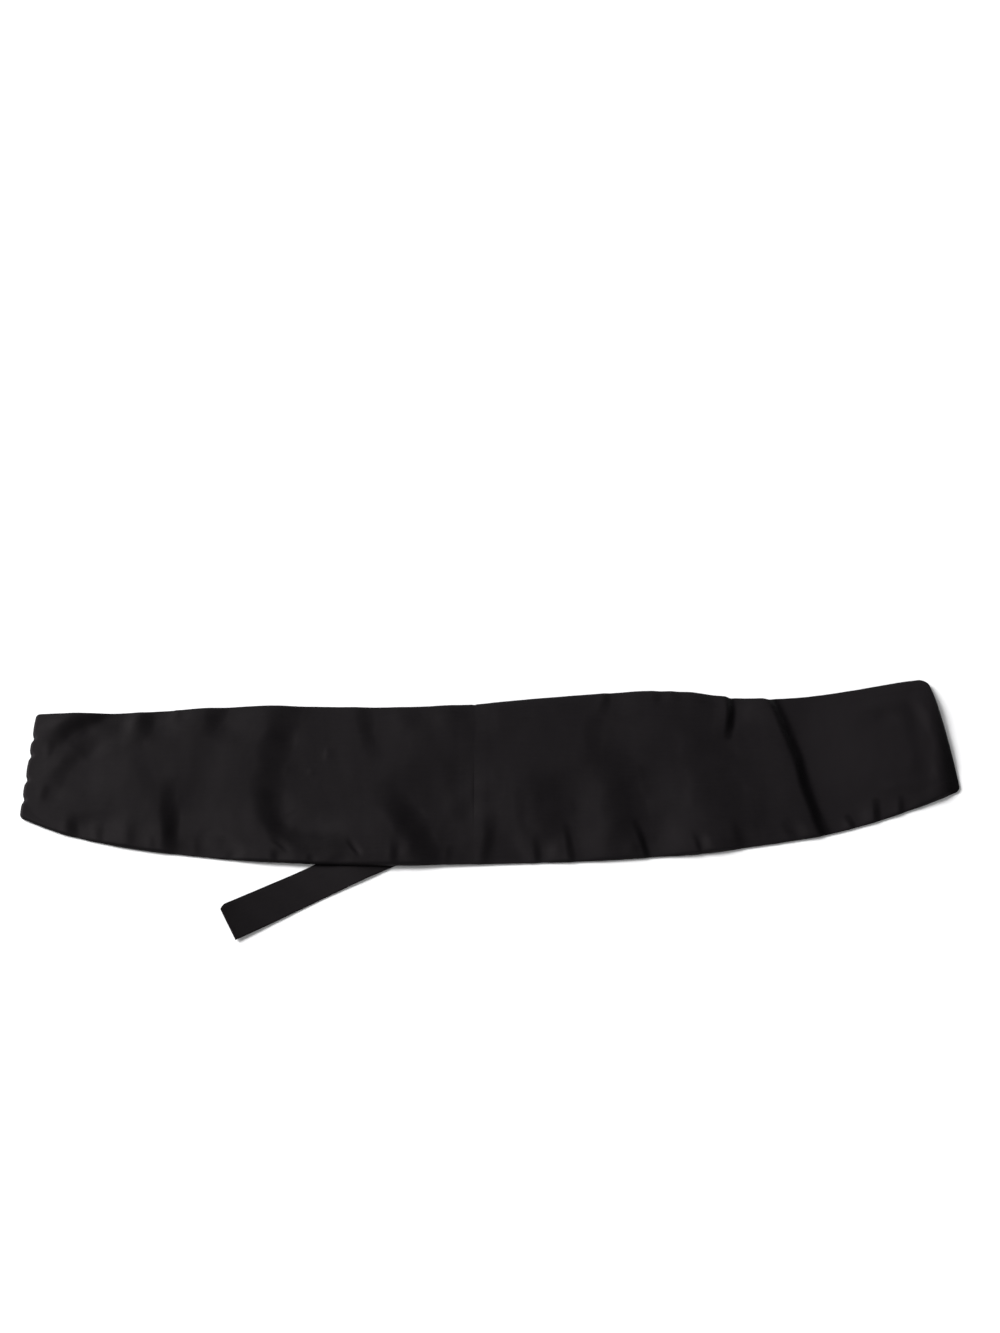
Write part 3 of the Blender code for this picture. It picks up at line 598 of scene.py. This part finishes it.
def back_sheet(name):
    """The back: one ply that lies on the surface and on the ties, its edge turned up into the seam."""
    inset = 2.62
    along = [inset, 2.9, 3.4, 4.2] + even(4.2, WHOLE - 4.2, 2.1) + [WHOLE - 4.2, WHOLE - 3.4, WHOLE - 2.9, WHOLE - inset]
    steps = [inset, 2.9, 3.4]
    rows = [(e, None, None) for e in steps] + [(None, None, k / 56) for k in range(0, 57)] + [(None, e, None) for e in reversed(steps)]
    x, y, d, v, left, right, low, high = plan(along, rows, 0.0)
    # little slack puckers along its seam, and slow waves that lift it a hair off the surface
    waves = 0.16 * np.clip(fields(x, y, (30.0, 40.0), 2, 31.0), 0, 1)
    within = np.maximum(d - inset, 0.0)
    hem = 0.22 * np.clip(fields(x, y, (7.0, 30.0), 2, 37.0), 0, 1) * np.exp(-within / 5.0)
    z = lift(x, y) + 0.2 + waves + hem + 0.42 * np.exp(-within / 0.3)
    n, m = x.shape
    verts = [(x[i, j], y[i, j], z[i, j]) for i in range(n) for j in range(m)]
    at = lambda i, j: i * m + j
    faces = [(at(i, j), at(i, j + 1), at(i + 1, j + 1), at(i + 1, j)) for i in range(n - 1) for j in range(m - 1)]
    piece = new_mesh(name, verts, faces, (("wear", list(np.exp(-within / 1.6).ravel())),))
    return thicken(piece, CLOTH)


def tie_tube(name, line, seed, end_lift):
    """A tie: a tube of satin turned out and pressed flat, closed at its free end, open where it is sewn in."""
    step = 1.5
    run = np.gradient(line, axis=0)
    run /= np.linalg.norm(run, axis=1)[:, None]
    side = np.stack([-run[:, 1], run[:, 0]], axis=1)
    length = len(line) - 1
    marks = list(np.arange(0, length - 12, step)) + list(length - np.array([12, 10.6, 9.2, 7.8, 6.5, 5.3, 4.2, 3.2, 2.3, 1.5, 0.9, 0.45, 0.15]))
    marks = np.array(marks)
    pick = lambda arr: np.stack([np.interp(marks, np.arange(len(line)), arr[:, k]) for k in (0, 1)], axis=1)
    centre, across = pick(line), pick(side)
    ahead = pick(run)
    flat_n, round_n = 17, 6

    def section(half_a, half_b, low, high):
        """(offset, height) round the flattened tube; half_a on the +side, half_b on the other."""
        r = (high - low) / 2
        mid = (high + low) / 2
        pts = [(-half_b + r + (half_a + half_b - 2 * r) * k / flat_n, low) for k in range(flat_n + 1)]
        pts += [(half_a - r + r * math.sin(a), mid - r * math.cos(a)) for a in np.linspace(0, math.pi, round_n + 2)[1:-1]]
        pts += [(half_a - r - (half_a + half_b - 2 * r) * k / flat_n, high) for k in range(flat_n + 1)]
        pts += [(-half_b + r - r * math.sin(a), mid + r * math.cos(a)) for a in np.linspace(0, math.pi, round_n + 2)[1:-1]]
        return pts

    verts, wear, tone_and_painted_shading, outer, inner = [], [], [], [], []
    for k, s in enumerate(marks):
        left = length - s
        half = TIE_WIDTH / 2 + (TIE_END_WIDTH - TIE_WIDTH) / 2 * float(smooth(1.0 - left / 70.0))
        half_b = half
        if left < 5.5:
            half_b = half - 2.8 * (1.0 - left / 5.5) ** 2
        squeeze = math.sqrt(max(0.0, 1 - (1 - min(left / 0.9, 1.0)) ** 2))
        # the free end stands a little off the surface, the sewn end rises into the seam
        rise = end_lift * max(0.0, 1.0 - left / 62.0) ** 2 + 0.9 * float(smooth(1.0 - s / 8.0))
        rise += end_lift * 0.45 * math.exp(-(((left - 94.0) / 19.0) ** 2))
        for wall, store in ((0.0, outer), (TIE_CLOTH, inner)):
            mid = (TIE_LOW + TIE_HIGH) / 2
            tall = (TIE_HIGH - TIE_LOW) / 2 * (0.25 + 0.75 * squeeze) - wall
            if wall and left < 1.2:
                continue
            pts = section(half - wall, half_b - wall, mid - max(tall, 0.06), mid + max(tall, 0.06))
            ring = []
            for u, h in pts:
                px, py = centre[k] + across[k] * u
                top = h > mid
                curl = end_lift * 0.25 * float(smooth((-u / max(half_b, 1) - 0.2) / 0.8)) * float(smooth(1.0 - left / 16.0))
                bulge = 0.18 * (1 - (u / half) ** 2) * (1 if top else 0)
                ripple = 0.10 * math.sin(s * 0.085 + seed) * (1 if top else 0.0) + 0.05 * math.sin(s * 0.31 + 0.2 * u + seed)
                ripple *= smooth(left / 3.0) * smooth(s / 6.0)
                z = h + rise + curl + (bulge + ripple) * (0.0 if wall else 1.0) * (1.0 if top else 0.3)
                ring.append(len(verts))
                verts.append((px, py, max(z, TIE_LOW * 0.8 + wall)))
                wear.append(math.exp(-(half - abs(u)) / 0.9) + math.exp(-left / 0.9))
                # painted shade darkens the tie's free end, painted light brightens a patch further along
                tone_and_painted_shading.append(0.25 * math.exp(-(((left - 78.0) / 26.0) ** 2)) - 1.0 * float(smooth(1.0 - (left + 0.6 * u) / 62.0)))
            store.append(ring)
    faces = []
    count = len(outer[0])
    for rings, flip in ((outer, False), (inner, True)):
        for a, b in zip(rings, rings[1:]):
            for q in range(count):
                quad = (a[q], b[q], b[(q + 1) % count], a[(q + 1) % count])
                faces.append(quad[::-1] if flip else quad)
    # the open, sewn end
    for q in range(count):
        faces.append((outer[0][q], outer[0][(q + 1) % count], inner[0][(q + 1) % count], inner[0][q]))
    # both skins close at the free end: lower and upper points are joined across
    for rings, flip in ((outer, False), (inner, True)):
        last = rings[-1]
        low_row = last[:flat_n + 1]
        round_a = last[flat_n + 1:flat_n + 1 + round_n]
        high_row = last[flat_n + 1 + round_n:2 * flat_n + 2 + round_n][::-1]
        round_b = last[2 * flat_n + 2 + round_n:]
        cap = [(low_row[q], low_row[q + 1], high_row[q + 1], high_row[q]) for q in range(flat_n)]
        cap.append(tuple([low_row[-1]] + round_a + [high_row[-1]]))
        cap.append(tuple([high_row[0]] + round_b + [low_row[0]]))
        faces += [c if flip else c[::-1] for c in cap]
    piece = new_mesh(name, verts, faces, (("wear", wear), ("painted_shading", tone_and_painted_shading)))
    bm = bmesh.new()
    bm.from_mesh(piece.data)
    bmesh.ops.recalc_face_normals(bm, faces=bm.faces)
    bm.to_mesh(piece.data)
    bm.free()
    piece.data.shade_smooth()
    return piece


face_left = face_half("satin_face_left", "left")
face_right = face_half("satin_face_right", "right")
back = back_sheet("satin_back")
tie_right = tie_tube("satin_tie_right", RIGHT_LINE, 0.4, 1.7)
tie_left = tie_tube("satin_tie_left", LEFT_LINE, 2.1, 0.25)


# ---------------------------------------------------------------- thread
def thread_piece(name, paths, radius, sides=6):
    """Black thread: a round closed tube along each path."""
    verts, faces = [], []
    for path in paths:
        rings = []
        for k, p in enumerate(path):
            a, b = np.array(path[max(k - 1, 0)]), np.array(path[min(k + 1, len(path) - 1)])
            t = (b - a) / np.linalg.norm(b - a)
            n1 = np.cross(t, (0.0, 0.0, 1.0)) if abs(t[2]) < 0.95 else np.array([0.0, 1.0, 0.0])
            n1 = n1 / np.linalg.norm(n1)
            n2 = np.cross(t, n1)
            ring = []
            for q in range(sides):
                w = 2 * math.pi * q / sides
                c = np.array(p) + radius * (math.cos(w) * n1 + math.sin(w) * n2)
                ring.append(len(verts))
                verts.append((c[0], c[1], max(c[2], 0.04)))
            rings.append(ring)
        for one, two in zip(rings, rings[1:]):
            for q in range(sides):
                faces.append((one[q], one[(q + 1) % sides], two[(q + 1) % sides], two[q]))
        faces.append(tuple(rings[0]))
        faces.append(tuple(reversed(rings[-1])))
    piece = new_mesh(name, verts, faces, (("wear", [0.0] * len(verts)),))
    bm = bmesh.new()
    bm.from_mesh(piece.data)
    bmesh.ops.recalc_face_normals(bm, faces=bm.faces)
    bm.to_mesh(piece.data)
    bm.free()
    piece.data.shade_smooth()
    return piece


def tacks(name):
    """Short hand tacks that draw the left end in: two loops over the edge at each tack."""
    paths = []
    for at in LEFT_TACKS:
        for shift in (-0.55, 0.6):
            xl, xh = FAN[0]
            yl, yh = hermite(EDGES, 1, xl), hermite(EDGES, 2, xh)
            x0, y0 = xl + (xh - xl) * at + TACK_DEPTH, yl + (yh - yl) * at
            ux, uy = (xh - xl) / math.hypot(xh - xl, yh - yl), (yh - yl) / math.hypot(xh - xl, yh - yl)
            x0, y0 = x0 + ux * shift, y0 + uy * shift
            base = float(lift(np.array([x0]), np.array([y0]))[0])
            loop = [(2.3, 1.35), (1.9, 2.05), (1.2, 2.22), (0.5, 2.02), (-0.02, 1.55), (-0.16, 1.0), (0.12, 0.5), (0.7, 0.14), (1.5, 0.1), (1.9, 0.3)]
            paths.append([(x0 + dx, y0 + 0.12 * shift * dx, base + h) for dx, h in loop])
    return thread_piece(name, paths, 0.17)


def tie_stitches(name):
    """A box of machine stitches that holds each tie's sewn end to the back; it shows on the underside."""
    paths = []
    for line in (RIGHT_LINE, LEFT_LINE):
        def spot(s, u):
            k = min(int(s), len(line) - 2)
            (ax, ay), (bx, by) = line[k], line[k + 1]
            gx, gy = bx - ax, by - ay
            size = math.hypot(gx, gy)
            rise = 0.9 * float(smooth(1.0 - s / 8.0))
            return (ax + gx * (s - k) - gy / size * u, ay + gy * (s - k) + gx / size * u, TIE_LOW + rise)
        corners = [(2.0, -9.5), (2.0, 9.5), (13.0, 9.5), (13.0, -9.5), (2.0, -9.5)]
        for (s0, u0), (s1, u1) in zip(corners, corners[1:]):
            long = math.hypot(s1 - s0, u1 - u0)
            n = int(long / 3.0)
            for k in range(n):
                stitch = []
                for part, sink in ((0.06, 0.16), (0.16, 0.05), (0.5, -0.03), (0.84, 0.05), (0.94, 0.16)):
                    f = (k + part) / n
                    px, py, pz = spot(s0 + (s1 - s0) * f, u0 + (u1 - u0) * f)
                    stitch.append((px, py, pz + sink))
                paths.append(stitch)
    return thread_piece(name, paths, 0.14, 5)


thread = tacks("end_tacks")
stitches = tie_stitches("tie_end_stitches")


# ---------------------------------------------------------------- materials
def satin(name, dark, light, rough, turn, specular=0.095, sheen=0.005, pitch=0.00042, depth=0.00006):
    """Black satin: a fine weave in which one set of threads floats, slubs, uneven dye, rubbed edges, and painted light
    and shade carried on the mesh.
    """
    made = bpy.data.materials.new(name)
    made.use_nodes = True
    nodes, links = made.node_tree.nodes, made.node_tree.links
    shader = nodes["Principled BSDF"]
    shader.inputs["Metallic"].default_value = 0.0
    shader.inputs["Specular IOR Level"].default_value = specular
    shader.inputs["Sheen Weight"].default_value = sheen
    shader.inputs["Sheen Roughness"].default_value = 0.45
    shader.inputs["Sheen Tint"].default_value = (0.9, 0.88, 0.95, 1.0)
    shader.inputs["Anisotropic"].default_value = 0.0
    shader.inputs["Specular Tint"].default_value = (1.0, 0.905, 0.925, 1.0)

    def add(kind, **values):
        node = nodes.new(kind)
        for key, value in values.items():
            if key in node.inputs.keys():
                node.inputs[key].default_value = value
            else:
                setattr(node, key, value)
        return node

    def link(a, b):
        links.new(a, b)

    place = add("ShaderNodeTexCoord")
    turned = add("ShaderNodeMapping")
    turned.inputs["Rotation"].default_value = (0.0, 0.0, turn)
    link(place.outputs["Object"], turned.inputs["Vector"])
    # weave: floats along the panel, ties across it
    floats = add("ShaderNodeTexWave", wave_type="BANDS", bands_direction="Y", Scale=0.314 / pitch, Distortion=0.6, Detail=1.0)
    floats.inputs["Detail Scale"].default_value = 0.35
    ties = add("ShaderNodeTexWave", wave_type="BANDS", bands_direction="DIAGONAL", Scale=0.314 / (pitch * 2.6), Distortion=0.8, Detail=1.0)
    ties.inputs["Detail Scale"].default_value = 0.4
    for wave in (floats, ties):
        link(turned.outputs["Vector"], wave.inputs["Vector"])
    weave = add("ShaderNodeMath", operation="MULTIPLY_ADD")
    weave.inputs[1].default_value = 0.7
    link(floats.outputs["Fac"], weave.inputs[0])
    tied = add("ShaderNodeMath", operation="MULTIPLY")
    tied.inputs[1].default_value = 0.3
    link(ties.outputs["Fac"], tied.inputs[0])
    link(tied.outputs[0], weave.inputs[2])
    # slubs: long thin unevenness of the yarns
    stretch = add("ShaderNodeMapping")
    stretch.inputs["Scale"].default_value = (60.0, 1500.0, 600.0)
    link(turned.outputs["Vector"], stretch.inputs["Vector"])
    slub = add("ShaderNodeTexNoise", Scale=1.0, Detail=3.0, Roughness=0.6)
    link(stretch.outputs["Vector"], slub.inputs["Vector"])
    # slow unevenness of the dye and of how the cloth was pressed
    patch = add("ShaderNodeTexNoise", Scale=22.0, Detail=3.0, Roughness=0.55)
    link(turned.outputs["Vector"], patch.inputs["Vector"])
    fine = add("ShaderNodeTexNoise", Scale=420.0, Detail=2.0, Roughness=0.6)
    link(turned.outputs["Vector"], fine.inputs["Vector"])
    worn = add("ShaderNodeAttribute", attribute_name="wear")
    # painted light and shade stored on the mesh
    painted_shading = add("ShaderNodeAttribute", attribute_name="painted_shading")

    tone = add("ShaderNodeMath", operation="MULTIPLY_ADD")
    link(patch.outputs["Fac"], tone.inputs[0])
    tone.inputs[1].default_value = 0.55
    grain = add("ShaderNodeMath", operation="MULTIPLY")
    link(fine.outputs["Fac"], grain.inputs[0])
    grain.inputs[1].default_value = 0.25
    link(grain.outputs[0], tone.inputs[2])
    toned = add("ShaderNodeMath", operation="MULTIPLY_ADD", use_clamp=True)
    link(worn.outputs["Fac"], toned.inputs[0])
    toned.inputs[1].default_value = 0.35
    link(tone.outputs[0], toned.inputs[2])
    woven = add("ShaderNodeMath", operation="MULTIPLY_ADD", use_clamp=True)
    link(weave.outputs[0], woven.inputs[0])
    woven.inputs[1].default_value = 0.16
    link(toned.outputs[0], woven.inputs[2])
    # the painted light and shade is added to the random tone, weave and wear here
    tone_and_painted_shading = add("ShaderNodeMath", operation="MULTIPLY_ADD", use_clamp=True)
    link(painted_shading.outputs["Fac"], tone_and_painted_shading.inputs[0])
    tone_and_painted_shading.inputs[1].default_value = 0.40
    yarns = add("ShaderNodeMath", operation="MULTIPLY_ADD")
    link(slub.outputs["Fac"], yarns.inputs[0])
    yarns.inputs[1].default_value = 0.5
    yarns.inputs[2].default_value = -0.25
    varied = add("ShaderNodeMath", operation="ADD")
    link(woven.outputs[0], varied.inputs[0])
    link(yarns.outputs[0], varied.inputs[1])
    link(varied.outputs[0], tone_and_painted_shading.inputs[2])
    colour = add("ShaderNodeMix", data_type="RGBA")
    colour.inputs["A"].default_value = (*dark, 1.0)
    colour.inputs["B"].default_value = (*light, 1.0)
    link(tone_and_painted_shading.outputs[0], colour.inputs["Factor"])
    link(colour.outputs["Result"], shader.inputs["Base Color"])

    gloss = add("ShaderNodeMapRange")
    gloss.inputs["From Min"].default_value = 0.25
    gloss.inputs["From Max"].default_value = 0.75
    gloss.inputs["To Min"].default_value = rough - 0.05
    gloss.inputs["To Max"].default_value = rough + 0.06
    link(patch.outputs["Fac"], gloss.inputs["Value"])
    rubbed = add("ShaderNodeMath", operation="MULTIPLY_ADD", use_clamp=True)
    link(worn.outputs["Fac"], rubbed.inputs[0])
    rubbed.inputs[1].default_value = -0.05
    link(gloss.outputs["Result"], rubbed.inputs[2])
    link(rubbed.outputs[0], shader.inputs["Roughness"])

    height = add("ShaderNodeMath", operation="MULTIPLY_ADD")
    link(slub.outputs["Fac"], height.inputs[0])
    height.inputs[1].default_value = 0.5
    link(weave.outputs[0], height.inputs[2])
    bump = add("ShaderNodeBump", Strength=0.5, Distance=depth)
    link(height.outputs[0], bump.inputs["Height"])
    link(bump.outputs["Normal"], shader.inputs["Normal"])
    return made


face_cloth = satin("black_satin_face", (0.0007, 0.0005, 0.0009), (0.0056, 0.0048, 0.0056), 0.60, 0.0)
back_cloth = satin("black_back_cloth", (0.0032, 0.0030, 0.0032), (0.0070, 0.0066, 0.0070), 0.68, 0.0, specular=0.2, sheen=0.02)
tie_cloth = satin("black_satin_tie", (0.0007, 0.0005, 0.0009), (0.0056, 0.0048, 0.0056), 0.60, math.radians(-27.0))
thread_stuff = satin("black_thread", (0.0070, 0.0065, 0.0070), (0.0160, 0.0150, 0.0160), 0.55, 0.0, pitch=0.00025)

for piece, cloth, slot in ((face_left, face_cloth, "face_satin"), (face_right, face_cloth, "face_satin"), (back, back_cloth, "back_satin"),
                           (tie_right, tie_cloth, "tie_satin"), (tie_left, tie_cloth, "tie_satin"), (thread, thread_stuff, "face_satin"), (stitches, thread_stuff, "tie_satin")):
    piece.data.materials.append(cloth)
    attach(piece, "root")

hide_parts("face_left")
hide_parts("face_right")
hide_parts("back")
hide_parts("tie_right")
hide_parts("tie_left")

# ---------------------------------------------------------------- floor, light and camera
bpy.ops.mesh.primitive_plane_add(size=8.0, location=(0.0, 0.0, 0.0))
floor = bpy.context.object
floor.name = "floor"
paper = bpy.data.materials.new("pale_floor")
paper.use_nodes = True
paper.node_tree.nodes["Principled BSDF"].inputs["Base Color"].default_value = (0.86, 0.86, 0.865, 1.0)
paper.node_tree.nodes["Principled BSDF"].inputs["Roughness"].default_value = 0.9
paper.node_tree.nodes["Principled BSDF"].inputs["Specular IOR Level"].default_value = 0.1
floor.data.materials.append(paper)

world = bpy.data.worlds.new("studio")
bpy.context.scene.world = world
world.use_nodes = True
world.node_tree.nodes["Background"].inputs["Color"].default_value = (1.0, 1.0, 1.0, 1.0)
world.node_tree.nodes["Background"].inputs["Strength"].default_value = 0.2


def softbox(name, place, target, size, power):
    data = bpy.data.lights.new(name, "AREA")
    data.shape = "RECTANGLE"
    data.size, data.size_y = size
    data.energy = power
    lamp = bpy.data.objects.new(name, data)
    lamp.location = place
    lamp.rotation_euler = (Vector(target) - Vector(place)).to_track_quat("-Z", "Y").to_euler()
    bpy.context.scene.collection.objects.link(lamp)
    return lamp


softbox("key", (-4.5, 2.05, 3.85), (0.0, 0.0, 0.0), (3.6, 3.6), 730.0)
softbox("fill", (0.6, -1.6, 2.4), (0.0, 0.0, 0.0), (1.6, 1.6), 16.0)

camera_data = bpy.data.cameras.new("camera")
camera_data.lens = 2400.0 * 36.0 / 1333.0
camera_data.sensor_width = 36.0
camera_data.sensor_fit = "AUTO"
camera = bpy.data.objects.new("camera", camera_data)
camera.location = (17.7 * MM - ORIGIN[0] * MM, -742.83 * MM - ORIGIN[1] * MM, 1457.89 * MM)
camera.rotation_euler = (math.radians(90.0 - 60.2924), 0.0, 0.0)
bpy.context.scene.collection.objects.link(camera)
bpy.context.scene.camera = camera
bpy.context.scene.view_settings.view_transform = "Standard"
bpy.context.scene.view_settings.look = "None"

bpy.context.view_layer.update()
